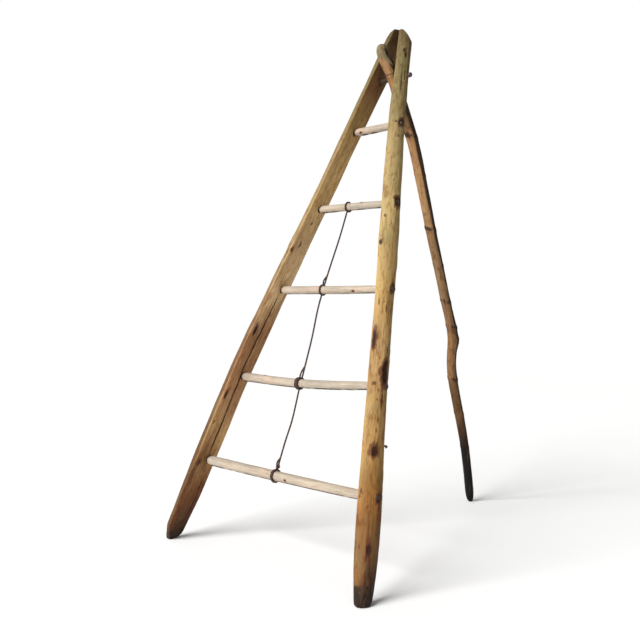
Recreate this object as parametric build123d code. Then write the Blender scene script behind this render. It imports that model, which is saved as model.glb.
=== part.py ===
"""Rustic orchard tripod ladder.

Two half-round stiles, split from one pole, meet at a hewn point and carry five
whittled rungs in through tenons. A crooked pole leg swings between the stiles on a
wooden peg. A tie wire runs down the middle from rung to rung.

Millimetres. +Z is up, the floor is z = 0, X runs across the ladder and the rungs,
the climber stands on the -Y side and the leg stands on the +Y side. The origin is on
the floor, in the middle of the ladder's footprint.
"""
from build123d import *
import math
import os

# ------------------------------------------------------------ the whole ladder
HEIGHT = 1950.0             # floor to the level where the stiles meet
FOOT_HALF_SPREAD = 463.0    # middle plane to a stile's sawn face, at the floor
TOP_HALF_GAP = 6.0          # the same, at the top
FRONT_REACH = 771.0         # from under the apex forward to the stile feet
LEG_REACH = 490.0           # from under the apex back to the leg's foot
FOOT_RADIUS = 37.0          # a stile's radius where it meets the floor
LEG_FOOT_RADIUS = 17.0
APEX_Y = (FRONT_REACH + FOOT_RADIUS - LEG_REACH - LEG_FOOT_RADIUS) / 2

LEFT, RIGHT = -1, 1

# ------------------------------------------------------------ stiles
# height as a share of HEIGHT, radius, bow outward, bow backward
STILE_SECTIONS = {
    LEFT: [
        (0.0, FOOT_RADIUS, 0.0, 0.0),
        (0.1, 49.5, -4.5, -6.0),
        (0.25, 52.5, -2.5, -20.0),
        (0.4, 53.0, 1.0, -21.5),
        (0.6, 48.0, -2.5, -10.0),
        (0.75, 45.5, -0.5, 0.0),
        (0.9, 50.5, 2.5, 12.5),
        (1.01, 49.0, 0.5, 17.0),
    ],
    RIGHT: [
        (0.0, 32.0, 3.5, 3.5),
        (0.1, 47.0, 0.0, 1.5),
        (0.25, 42.5, -2.0, 0.5),
        (0.4, 41.5, -2.0, 1.5),
        (0.6, 42.5, -3.0, 2.0),
        (0.75, 40.0, -4.0, 1.5),
        (0.9, 35.5, -0.5, 6.5),
        (1.01, 33.0, 0.5, 11.0),
    ],
}
WORN_DEPTH, WORN_HEIGHT = 24.0, 34.0     # the left foot's front corner, worn away
POINT_HEIGHT = HEIGHT + 9.0         # tip of the hewn end
POINT_BACK = 0.0                    # the tip, behind the apex
# tilt of the hewn facets at the tip, from square to the stile, how far from the tip's
# axis the steep ones begin, and their tilt
HEWING = {LEFT: (35.0, 22.0, 62.0), RIGHT: (42.0, 8.0, 59.0)}
FACET_TURNS = [-66.0, -22.0, 22.0, 66.0]    # facet directions about straight outward

# ------------------------------------------------------------ rungs, from the top down
# height at the left and right stile, distance behind the sawn face's centre line at the
# left and right stile, radius at the left, middle and right, sag in the middle
RUNGS = [
    (1541.0, 1540.0, 5.0, -2.0, 15.6, 15.0, 14.2, 0.0),
    (1236.0, 1231.0, 8.0, 1.0, 15.0, 14.3, 13.2, -1.5),
    (926.0, 924.0, 11.0, 6.5, 16.0, 15.0, 13.6, 1.0),
    (600.0, 609.0, 13.0, 7.0, 17.0, 16.0, 14.4, 11.0),
    (290.0, 287.0, 12.0, -4.5, 18.0, 17.6, 15.2, 2.0),
]
TENON_RADIUS = 10.5
TENON_PROUD = 2.0           # how far a tenon stands out of the stile's round side
SHOULDER_GAP = 3.0          # rung shoulder to sawn face, on the tenon's axis
SHOULDER_LENGTH = 20.0      # whittled taper from tenon to full thickness
BODY_DISCS = 13             # evenly spaced sections of a rung's body
WOOD_FIT = 0.05             # clearance all round a tenon or peg that is driven in

# ------------------------------------------------------------ rear leg and its peg
PEG_HEIGHT = 1750.0
PEG_FORWARD = 59.0          # peg axis in front of the apex
PEG_RADIUS = 9.5
PEG_PROUD = 14.0            # the peg's ends outside the stiles
PIVOT_CLEARANCE = 0.09      # running fit of the leg on the peg
BORE_LENGTH = 120.0         # longer than the leg is thick
# height, sideways and backward of the apex, radius: the crooked pole's centre line
LEG_PATH = [
    (1869.0, -2.0, -119.0, 13.0),
    (1860.0, -2.0, -115.5, 20.5),
    (1842.0, -1.0, -109.0, 23.4),
    (1818.0, 1.0, -96.0, 23.6),
    (1795.0, 4.0, -81.5, 23.4),
    (1750.0, 9.0, -54.0, 23.6),
    (1695.0, 12.0, -28.0, 23.6),
    (1626.0, 11.0, 11.0, 23.2),
    (1527.0, 8.0, 69.0, 22.8),
    (1435.0, 5.0, 109.0, 22.4),
    (1294.0, -2.0, 168.0, 22.0),
    (1149.0, -4.0, 220.0, 21.6),
    (1000.0, -1.0, 271.0, 21.2),
    (899.0, 2.0, 303.0, 21.0),
    (796.0, 9.0, 334.0, 21.4),
    (728.0, 13.0, 346.0, 22.8),
    (660.0, 6.0, 348.0, 21.2),
    (589.0, 0.0, 357.0, 20.2),
    (483.0, 2.0, 381.0, 19.8),
    (375.0, 5.0, 412.0, 19.2),
    (266.0, 8.0, 440.0, 18.6),
    (157.0, 9.0, 463.0, 18.2),
    (47.0, 9.0, 481.0, 17.8),
    (-30.0, 10.0, 495.0, LEG_FOOT_RADIUS),
]
BINDING_WIRE_RADIUS = 1.4
BINDING_ABOVE_PEG = 24.0    # along the leg, from the peg's axis to the binding
BINDING_TAIL = 16.0         # length of the wire's twisted end

# ------------------------------------------------------------ nails
NAIL_RADIUS = 1.6
NAIL_HEAD_RADIUS = 3.6
NAIL_HEAD_THICKNESS = 1.5
NAIL_LENGTH = 42.0
NAIL_ANGLE = {LEFT: 5.0, RIGHT: 46.0}       # where they go in, from straight outward to the front
NAILED_RUNGS = [(0, 9.0), (3, -6.0), (4, -7.0)]     # rung, nail above its tenon's axis
STUB_HEIGHT = 430.0         # a bent nail in the back of the right stile
STUB_ANGLE = -42.0
STUB_OUT = 9.0

# ------------------------------------------------------------ tie wire
WIRE_RADIUS = 3.0
TURN_PITCH = 6.2
WRAP_GAP = 0.6              # between a rung and the inside of a turn
END_GAP = 0.3               # between a span's end, the turns and the knot
# rung, sideways place of the turns, number of turns
WRAPS = [(1, -22.0, 1), (2, -35.5, 1), (3, -25.5, 3), (4, -15.0, 2)]
# sideways offset of each span's start and end from the middle of the turns
SPAN_SHIFTS = [(0.0, 0.0), (0.0, 5.0), (5.0, 0.0)]
# share of the span's length, sideways and backward offset of each slight kink
SPAN_KINKS = [
    [(0.28, 4.5, -1.0), (0.52, 1.5, 1.0), (0.78, 1.0, -1.0)],
    [(0.14, -5.0, 1.0), (0.5, 4.5, -1.5), (0.78, 0.5, 1.0)],
    [(0.2, 3.0, 1.0), (0.44, 8.5, -1.0), (0.72, -1.0, 1.0)],
]
KNOT_RADIUS = 6.0
KNOT_LENGTH = 15.0
ARC_SHARE = 0.45            # of the shorter run, used by the arc at a kink


def stile_blank(side):
    """A bowed half-round pole: half discs, lofted from the floor to the top."""
    discs = []
    for share, radius, outward, back in STILE_SECTIONS[side]:
        x = side * (FOOT_HALF_SPREAD + (TOP_HALF_GAP - FOOT_HALF_SPREAD) * share + outward)
        y = APEX_Y - FRONT_REACH * (1 - share) + back
        front, rear = Vector(x, y - radius), Vector(x, y + radius)
        outline = Line(rear, front) + ThreePointArc(front, (x + side * radius, y), rear)
        discs.append(Pos(0, 0, share * HEIGHT) * make_face(outline))
    stile = hew_top(loft(discs), side)
    return wear_foot(stile) if side == LEFT else stile


def wear_foot(stile):
    """Take off the front lower corner of a stile's foot."""
    front = APEX_Y - FRONT_REACH - FOOT_RADIUS
    low = Vector(0, front + WORN_DEPTH, 0)
    high = Vector(0, front + WORN_HEIGHT * FRONT_REACH / HEIGHT, WORN_HEIGHT)
    across = (high - low).normalized()
    worn = Plane(origin=low, z_dir=Vector(0, -across.Z, across.Y))
    return split(stile, bisect_by=worn, keep=Keep.BOTTOM)


def stile_direction(side):
    """Unit vector up along a stile."""
    inward = side * (TOP_HALF_GAP - FOOT_HALF_SPREAD)
    return Vector(inward, FRONT_REACH, HEIGHT).normalized()


def hew_top(stile, side):
    """Chop the top end to half of a common point, facet by facet."""
    up = stile_direction(side)
    out = (Vector(side, 0, 0) - up * up.X * side).normalized()
    back = up.cross(out)
    tip = Vector(side * TOP_HALF_GAP, APEX_Y + POINT_BACK, POINT_HEIGHT)
    blunt_tilt, blunt_reach, steep_tilt = HEWING[side]
    blunt_drop = blunt_reach * math.tan(math.radians(blunt_tilt))
    for tilt, reach, drop in ((blunt_tilt, 0, 0), (steep_tilt, blunt_reach, blunt_drop)):
        slope = math.radians(tilt)
        for turn in FACET_TURNS:
            angle = math.radians(turn)
            away = out * math.cos(angle) + back * math.sin(angle)
            facet = Plane(
                origin=tip + away * reach - up * drop,
                z_dir=up * math.cos(slope) + away * math.sin(slope))
            stile = split(stile, bisect_by=facet, keep=Keep.BOTTOM)
    return stile


def slice_box(stile, height):
    """Box around a stile's level section at one height."""
    return section(stile, section_by=Plane.XY.offset(height)).bounding_box()


def stile_at(stiles, side, height, back):
    """Where a level line across the ladder enters and leaves a stile."""
    box = slice_box(stiles[side], height)
    centre = box.center().Y
    radius = box.size.Y / 2
    inner = box.max.X if side == LEFT else box.min.X
    outer = inner + side * math.sqrt(radius ** 2 - back ** 2)
    return inner, outer, centre + back


def rung_ends(stiles, number):
    """Left and right ends of a rung: sawn face, outer side, y and z of the tenon's axis."""
    z_left, z_right, back_left, back_right = RUNGS[number][:4]
    ends = {}
    for side, height, back in ((LEFT, z_left, back_left), (RIGHT, z_right, back_right)):
        inner, outer, y = stile_at(stiles, side, height, back)
        ends[side] = (inner, outer, y, height)
    return ends


def tenon(end, side, radius, proud):
    """Round bar along X, from the rung's shoulder through the stile."""
    inner, outer, y, z = end
    start = inner - side * (SHOULDER_GAP + SHOULDER_LENGTH)
    length = abs(outer + side * proud - start)
    return Pos((start + outer + side * proud) / 2, y, z) * Cylinder(
        radius, length, rotation=(0, 90, 0))


def rung_centre(ends, share, sag):
    """Centre of a rung at a share of the way from the left sawn face to the right one."""
    left, right = ends[LEFT], ends[RIGHT]
    x = left[0] + (right[0] - left[0]) * share
    y = left[2] + (right[2] - left[2]) * share
    z = left[3] + (right[3] - left[3]) * share - sag * math.sin(math.pi * share)
    return x, y, z


def rung_radius(number, share):
    """Radius of a rung's body, by a parabola through its two ends and middle."""
    left, middle, right = RUNGS[number][4:7]
    return left * (1 - share) * (1 - 2 * share) + 4 * middle * share * (1 - share) + (
        right * share * (2 * share - 1))


def rung(ends, number):
    """Peeled stick with whittled shoulders and a tenon at each end, as one run of discs."""
    span = ends[RIGHT][0] - ends[LEFT][0]
    root = (SHOULDER_GAP + SHOULDER_LENGTH) / span
    stations = []
    for i in range(BODY_DISCS):
        share = root + (1 - 2 * root) * i / (BODY_DISCS - 1)
        stations.append((rung_centre(ends, share, RUNGS[number][7]), rung_radius(number, share)))
    for side in (LEFT, RIGHT):
        inner, outer, y, z = ends[side]
        full = rung_radius(number, root if side == LEFT else 1 - root)
        tip = outer + side * TENON_PROUD
        neck = inner - side * SHOULDER_GAP
        swell = neck - side * SHOULDER_LENGTH / 2
        stations.append(((tip, y, z), TENON_RADIUS))
        stations.append(((neck, y, z), TENON_RADIUS))
        stations.append(((swell, y, z), (TENON_RADIUS + 3 * full) / 4))
    stations.sort(key=lambda station: station[0][0])
    discs = [Plane(origin=centre, z_dir=(1, 0, 0)) * Circle(r) for centre, r in stations]
    return loft(discs, ruled=True)


def leg_point(height, sideways, back):
    return Vector(sideways, APEX_Y + back, height)


def leg_planes():
    """Planes square to the leg's centre line, at its stations."""
    points = [leg_point(*station[:3]) for station in LEG_PATH]
    planes = []
    for i, point in enumerate(points):
        before, after = points[max(i - 1, 0)], points[min(i + 1, len(points) - 1)]
        planes.append(Plane(origin=point, x_dir=(1, 0, 0), z_dir=(before - after).normalized()))
    return planes


def rear_leg():
    """Crooked round pole, cut level at the floor, with the bore for the peg."""
    discs = [plane * Circle(station[3]) for plane, station in zip(leg_planes(), LEG_PATH)]
    pole = split(loft(discs), bisect_by=Plane.XY, keep=Keep.TOP)
    bore = Cylinder(PEG_RADIUS + PIVOT_CLEARANCE, BORE_LENGTH, rotation=(0, 90, 0))
    return pole - peg_place() * bore


def peg_place():
    return Pos(0, APEX_Y - PEG_FORWARD, PEG_HEIGHT)


def peg_ends(stiles):
    """How far the peg reaches on each side, and how far back of each stile's middle it is."""
    ends = {}
    for side in (LEFT, RIGHT):
        box = slice_box(stiles[side], PEG_HEIGHT)
        back = APEX_Y - PEG_FORWARD - box.center().Y
        outer = stile_at(stiles, side, PEG_HEIGHT, back)[1]
        ends[side] = outer + side * PEG_PROUD
    return ends


def peg(ends, radius):
    """The pivot peg, or the hole for it when the radius is larger."""
    length = ends[RIGHT] - ends[LEFT]
    middle = (ends[RIGHT] + ends[LEFT]) / 2
    return peg_place() * Pos(middle, 0, 0) * Cylinder(radius, length, rotation=(0, 90, 0))


def pivot_peg(ends):
    round_peg = peg(ends, PEG_RADIUS)
    return chamfer(round_peg.edges().filter_by(GeomType.CIRCLE), 2.0)


def head_binding():
    """One turn of thin wire round the leg above the peg, with its end bent down."""
    neck = LEG_PATH.index(next(s for s in LEG_PATH if s[0] == PEG_HEIGHT))
    centre, above = (leg_point(*LEG_PATH[i][:3]) for i in (neck, neck - 1))
    axis = (above - centre).normalized()
    ring_plane = Plane(
        origin=centre + axis * BINDING_ABOVE_PEG, x_dir=(1, 0, 0), z_dir=axis)
    reach = LEG_PATH[neck][3] + 0.3 + BINDING_WIRE_RADIUS
    ring = ring_plane * Torus(reach, BINDING_WIRE_RADIUS)
    angle = math.radians(215)
    start = ring_plane.from_local_coords((reach * math.cos(angle), reach * math.sin(angle), 0))
    out = (start - ring_plane.origin).normalized()
    end = start - axis * BINDING_TAIL + out * 3.0
    tail = Plane(origin=(start + end) / 2, z_dir=(end - start).normalized()) * Cylinder(
        BINDING_WIRE_RADIUS, (end - start).length)
    return ring + tail


def nail(entry, inward):
    """A nail whose head sits on the wood at the entry point."""
    middle = entry + inward * NAIL_LENGTH / 2
    shank = Plane(origin=middle, z_dir=inward) * Cylinder(NAIL_RADIUS, NAIL_LENGTH)
    head = Plane(origin=entry - inward * NAIL_HEAD_THICKNESS / 2, z_dir=inward) * Cylinder(
        NAIL_HEAD_RADIUS, NAIL_HEAD_THICKNESS)
    return shank + head


def tenon_nails(stiles, ends, side):
    """Nails driven through the stile's round side into the middle of the tenons."""
    angle = math.radians(NAIL_ANGLE[side])
    nails = []
    for number, above in NAILED_RUNGS:
        inner, outer, y, z = ends[number][side]
        target = Vector((inner + outer) / 2, y, z)
        box = slice_box(stiles[side], z + above)
        out = Vector(side * math.cos(angle), -math.sin(angle), 0)
        entry = Vector(inner, box.center().Y, z + above) + out * box.size.Y / 2
        nails.append(nail(entry, (target - entry).normalized()))
    return Compound(children=nails)


def bent_nail(stiles):
    """A nail half driven into the back of the right stile and bent over."""
    angle = math.radians(STUB_ANGLE)
    box = slice_box(stiles[RIGHT], STUB_HEIGHT)
    out = Vector(math.cos(angle), -math.sin(angle), 0)
    surface = Vector(box.min.X, box.center().Y, STUB_HEIGHT) + out * (box.size.Y / 2)
    bend = surface + out * STUB_OUT
    start = surface - out * NAIL_LENGTH / 2
    shank = Plane(origin=(start + bend) / 2, z_dir=out) * Cylinder(
        NAIL_RADIUS, (bend - start).length)
    corner = Pos(*bend) * Sphere(NAIL_RADIUS)
    tip = Pos(bend.X, bend.Y, bend.Z - STUB_OUT / 2) * Cylinder(NAIL_RADIUS, STUB_OUT)
    return shank + corner + tip


def wrap_place(ends, wrap):
    """Centre, inner and outer radius of the turns of wire round one rung."""
    number, x, turns = wrap
    left, right = ends[number][LEFT][0], ends[number][RIGHT][0]
    share = (x - left) / (right - left)
    centre = Vector(*rung_centre(ends[number], share, RUNGS[number][7]))
    inner = rung_radius(number, share) + WRAP_GAP
    return centre, inner, inner + 2 * WIRE_RADIUS


def wire_wrap(ends, wrap):
    """Closed sleeve of the outer shape of the turns round one rung."""
    centre, inner, outer = wrap_place(ends, wrap)
    width = TURN_PITCH * wrap[2]
    sleeve = Cylinder(outer, width, rotation=(0, 90, 0)) - Cylinder(
        inner, width + 1, rotation=(0, 90, 0))
    return Pos(*centre) * sleeve


def span_route(ends, number):
    """Points of one taut span of wire, from the turns above to the turns below."""
    top, _, top_outer = wrap_place(ends, WRAPS[number])
    low, _, low_outer = wrap_place(ends, WRAPS[number + 1])
    down = (low - top).normalized()
    start_shift, end_shift = SPAN_SHIFTS[number]
    start = top + down * (top_outer + END_GAP) + Vector(start_shift, 0, 0)
    end = low - down * (low_outer + END_GAP) + Vector(end_shift, 0, 0)
    if number == len(SPAN_KINKS) - 1:
        end -= down * (KNOT_LENGTH + END_GAP)
    kinks = [start + (end - start) * share + Vector(dx, dy, 0)
             for share, dx, dy in SPAN_KINKS[number]]
    return [start] + kinks + [end]


def wire_span(ends, number):
    """Tube along straight runs joined by tangent arcs."""
    points = span_route(ends, number)
    radii = []
    for before, here, after in zip(points, points[1:], points[2:]):
        half_turn = math.radians((here - before).get_angle(after - here)) / 2
        run = min((here - before).length, (after - here).length)
        radii.append(ARC_SHARE * run / math.tan(half_turn))
    path = FilletPolyline(*points, radius=radii)
    return sweep(Plane(origin=path @ 0, z_dir=path % 0) * Circle(WIRE_RADIUS), path=path)


def wire_knot(ends):
    """The knot where the last span meets the turns on the lowest rung."""
    last = span_route(ends, len(SPAN_KINKS) - 1)[-1]
    low, _, low_outer = wrap_place(ends, WRAPS[-1])
    down = (low - last).normalized()
    top = last + down * END_GAP
    end = low - down * (low_outer + END_GAP)
    body = Plane(origin=(top + end) / 2, z_dir=down) * Cylinder(
        KNOT_RADIUS, (end - top).length)
    return fillet(body.edges().filter_by(GeomType.CIRCLE), KNOT_RADIUS / 2)


def make_parts():
    """Every piece of the ladder, by name."""
    stiles = {side: stile_blank(side) for side in (LEFT, RIGHT)}
    ends = [rung_ends(stiles, number) for number in range(len(RUNGS))]
    across = peg_ends(stiles)
    parts = {}
    for side, name in ((LEFT, "left"), (RIGHT, "right")):
        stile = stiles[side] - peg(across, PEG_RADIUS + WOOD_FIT)
        for rung_end in ends:
            stile -= tenon(rung_end[side], side, TENON_RADIUS + WOOD_FIT, 2 * TENON_PROUD)
        parts[name + "_stile"] = stile
        parts[name + "_tenon_nails"] = tenon_nails(stiles, ends, side)
    for number in range(len(RUNGS)):
        parts[f"rung_{number + 1}"] = rung(ends[number], number)
    parts["rear_leg"] = rear_leg()
    parts["pivot_peg"] = pivot_peg(across)
    parts["head_binding"] = head_binding()
    parts["bent_nail"] = bent_nail(stiles)
    for wrap in WRAPS:
        parts[f"wire_turns_{wrap[0] + 1}"] = wire_wrap(ends, wrap)
    for number in range(len(SPAN_KINKS)):
        parts[f"wire_span_{number + 1}"] = wire_span(ends, number)
    parts["wire_knot"] = wire_knot(ends)
    return parts


os.makedirs("parts", exist_ok=True)
for node, shape in make_parts().items():
    export_step(shape, f"parts/{node}.step")
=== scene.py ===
"""Looks of the orchard tripod ladder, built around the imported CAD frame. Metres."""
import functools
import itertools
import math

import bpy
import numpy as np
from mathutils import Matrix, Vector


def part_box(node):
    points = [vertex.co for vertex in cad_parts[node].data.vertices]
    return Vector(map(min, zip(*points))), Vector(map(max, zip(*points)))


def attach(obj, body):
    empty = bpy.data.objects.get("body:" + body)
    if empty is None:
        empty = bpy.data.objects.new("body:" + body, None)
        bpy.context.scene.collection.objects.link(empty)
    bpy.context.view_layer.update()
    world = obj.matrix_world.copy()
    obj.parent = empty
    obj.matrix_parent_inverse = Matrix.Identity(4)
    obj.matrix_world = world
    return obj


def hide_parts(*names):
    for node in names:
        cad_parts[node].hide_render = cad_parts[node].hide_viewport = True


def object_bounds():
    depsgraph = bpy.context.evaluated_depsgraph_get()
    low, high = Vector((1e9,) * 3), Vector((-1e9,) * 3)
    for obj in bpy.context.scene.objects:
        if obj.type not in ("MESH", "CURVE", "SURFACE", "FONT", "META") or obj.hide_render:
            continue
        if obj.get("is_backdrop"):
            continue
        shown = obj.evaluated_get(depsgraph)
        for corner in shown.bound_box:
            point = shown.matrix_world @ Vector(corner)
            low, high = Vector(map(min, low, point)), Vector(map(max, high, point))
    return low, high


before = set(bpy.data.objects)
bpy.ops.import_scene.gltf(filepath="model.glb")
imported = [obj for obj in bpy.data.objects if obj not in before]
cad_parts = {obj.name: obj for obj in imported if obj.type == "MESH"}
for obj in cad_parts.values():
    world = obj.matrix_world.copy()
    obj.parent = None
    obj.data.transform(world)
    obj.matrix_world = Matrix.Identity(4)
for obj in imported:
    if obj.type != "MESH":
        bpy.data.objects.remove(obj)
CAD_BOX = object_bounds()
LEFT, RIGHT = -1, 1


# -------------------- noise
def noise(points, seed):
    """Smooth noise from -1 to 1 at each point, about one bump per unit."""
    points = np.asarray(points, float)
    cell = np.floor(points).astype(np.int64)
    part = points - cell
    part = part * part * (3 - 2 * part)
    total = np.zeros(points.shape[:-1])
    for corner in itertools.product((0, 1), repeat=3):
        place = cell + np.array(corner)
        mixed = place[..., 0] * 73856093 ^ place[..., 1] * 19349663 ^ place[..., 2] * 83492791
        mixed = (mixed ^ seed * 2654435761) & 0xFFFFFFFF
        mixed = ((mixed ^ (mixed >> 13)) * 1274126177) & 0xFFFFFFFF
        value = ((mixed ^ (mixed >> 16)) & 0xFFFF) / 32767.5 - 1
        total += value * np.prod(np.where(corner, part, 1 - part), axis=-1)
    return total


def fractal(points, octaves, seed):
    """Noise with finer and weaker noise on it."""
    points = np.asarray(points, float)
    return sum(noise(points * 2 ** k, seed + k) / 2 ** k for k in range(octaves))


def limit(values):
    """Values held between 0 and 1."""
    return np.clip(values, 0, 1)


def circle(count):
    """Points round a circle of radius 1."""
    angles = np.arange(count) * 2 * math.pi / count
    return np.stack([np.cos(angles), np.sin(angles)], -1)


# -------------------- reading the frame
@functools.cache
def cad_arrays(node):
    """Vertices and edges of a CAD node, as arrays."""
    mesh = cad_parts[node].data
    places = np.array([v.co for v in mesh.vertices], float)
    return places, np.array([e.vertices[:] for e in mesh.edges], int)


def slice_box(node, axis, value):
    """Lowest and highest corner of a CAD node's section at one coordinate."""
    places, edges = cad_arrays(node)
    start, end = places[edges[:, 0]], places[edges[:, 1]]
    low, high = start[:, axis] - value, end[:, axis] - value
    cut = low * high < 0
    share = (low[cut] / (low[cut] - high[cut]))[:, None]
    points = start[cut] + (end[cut] - start[cut]) * share
    return points.min(0), points.max(0)


def slices(node, axis, values):
    """Lowest and highest corners of a CAD node's sections."""
    boxes = [slice_box(node, axis, value) for value in values]
    return np.array([b[0] for b in boxes]), np.array([b[1] for b in boxes])


# -------------------- objects
def add_object(name, data):
    thing = bpy.data.objects.new(name, data)
    bpy.context.scene.collection.objects.link(thing)
    return thing


def skin(rows):
    """Quads between rows of points that each go once round, and the two end caps."""
    count, around = len(rows), len(rows[0])
    places = np.array(rows).reshape(-1, 3)
    index = np.arange(count * around).reshape(count, around)
    nearer, further = index[:-1], index[1:]
    quads = np.stack([
        nearer, np.roll(nearer, -1, 1), np.roll(further, -1, 1), further], -1).reshape(-1, 4)
    return places, quads.tolist() + [index[0][::-1].tolist(), index[-1].tolist()]


def make_object(name, places, faces, smooth=True):
    mesh = bpy.data.meshes.new(name)
    mesh.from_pydata(np.asarray(places).tolist(), [], faces)
    mesh.validate()
    if smooth:
        mesh.shade_smooth()
    else:
        mesh.shade_flat()
    return add_object(name, mesh)


def mesh_places(thing):
    places = np.zeros(len(thing.data.vertices) * 3, np.float32)
    thing.data.vertices.foreach_get("co", places)
    return places.reshape(-1, 3).astype(float)


DRILL_SIDES = 48
ATTRIBUTE_KEYS = {"FLOAT": "value", "FLOAT_VECTOR": "vector", "FLOAT_COLOR": "color"}


def store(thing, name, kind, values):
    """Write one attribute value at each vertex."""
    attribute = thing.data.attributes.new(name, kind, "POINT")
    attribute.data.foreach_set(ATTRIBUTE_KEYS[kind], np.asarray(values, np.float32).ravel())


def drill(thing, start, end, radius):
    """Cut a round hole from start to end."""
    direction = (Vector(end) - Vector(start)).normalized()
    turn = direction.to_track_quat("Z", "Y").to_matrix()
    ring = [turn @ Vector((x * radius, y * radius, 0)) for x, y in circle(DRILL_SIDES)]
    rows = [[Vector(place) + offset for offset in ring] for place in (start, end)]
    cutter = make_object("cutter", *skin(rows))
    cut = thing.modifiers.new("hole", "BOOLEAN")
    cut.operation = "DIFFERENCE"
    cut.solver = "MANIFOLD"
    cut.object = cutter
    with bpy.context.temp_override(object=thing):
        bpy.ops.object.modifier_apply(modifier=cut.name)
    bpy.data.objects.remove(cutter)


# -------------------- shader helpers
class Nodes:
    """A node tree, with short ways to add nodes."""

    def __init__(self, tree):
        self.tree = tree

    def add(self, kind, inputs=(), **settings):
        made = self.tree.nodes.new(kind)
        for key, value in settings.items():
            setattr(made, key, value)
        for key, value in dict(inputs).items():
            self.feed(made.inputs[key], value)
        return made

    def feed(self, socket, value):
        if isinstance(value, bpy.types.NodeSocket):
            self.tree.links.new(value, socket)
        else:
            socket.default_value = value

    def attribute(self, name):
        return self.add("ShaderNodeAttribute", attribute_name=name)

    def math(self, operation, a, b):
        made = self.add("ShaderNodeMath", operation=operation)
        self.feed(made.inputs[0], a)
        self.feed(made.inputs[1], b)
        return made.outputs[0]

    def swing(self, value, reach):
        """A noise's rise and fall about its middle, as wide as reach."""
        return self.math("MULTIPLY", self.math("SUBTRACT", value, 0.5), reach)

    def noise(self, vector, stretch, detail=4.0, rough=0.55, distortion=0.0):
        """Noise on a vector whose three parts are stretched on their own."""
        scaled = self.add("ShaderNodeVectorMath", {0: vector, 1: stretch}, operation="MULTIPLY")
        made = self.add("ShaderNodeTexNoise", {
            "Vector": scaled.outputs[0], "Scale": 1.0, "Detail": detail,
            "Roughness": rough, "Distortion": distortion})
        return made.outputs["Fac"]

    def ramp(self, factor, low, high, start=0.0, end=1.0, kind="SMOOTHSTEP"):
        """A number that goes from start to end as factor goes from low to high."""
        made = self.add("ShaderNodeMapRange", {
            "Value": factor, "From Min": low, "From Max": high,
            "To Min": start, "To Max": end}, interpolation_type=kind)
        return made.outputs[0]

    def gradient(self, factor, stops):
        """Colours by height, from stops of height, red, green and blue."""
        made = self.add("ShaderNodeValToRGB", {"Fac": factor})
        elements = made.color_ramp.elements
        while len(elements) < len(stops):
            elements.new(0.5)
        for element, stop in zip(elements, stops):
            element.position = stop[0] / TALLEST
        for element, stop in zip(elements, stops):
            element.color = tone(*stop[1:])
        return made.outputs["Color"]

    def mix(self, factor, a, b, blend="MIX"):
        made = self.add("ShaderNodeMix", data_type="RGBA", blend_type=blend)
        self.feed(made.inputs[0], factor)
        self.feed(made.inputs[6], a)
        self.feed(made.inputs[7], b)
        return made.outputs[2]

    def bump(self, height, distance, below=None):
        made = self.add("ShaderNodeBump", {"Height": height, "Distance": distance})
        if below is not None:
            self.feed(made.inputs["Normal"], below)
        return made.outputs[0]


class Shader(Nodes):
    """A new material's nodes."""

    def __init__(self, name):
        self.material = bpy.data.materials.new(name)
        self.material.use_nodes = True
        super().__init__(self.material.node_tree)
        self.surface = self.tree.nodes["Principled BSDF"]


def tone(red, green, blue):
    """Linear colour with alpha from everyday 0 to 255 values."""
    linear = []
    for level in (red, green, blue):
        share = level / 255
        linear.append(share / 12.92 if share <= 0.04045 else ((share + 0.055) / 1.055) ** 2.4)
    return (*linear, 1.0)


# -------------------- wood
TALLEST = 2.0               # height in metres at the end of every colour run
KNOT_HEART, CRACK_DARK = tone(42, 21, 13), tone(30, 20, 13)


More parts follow.
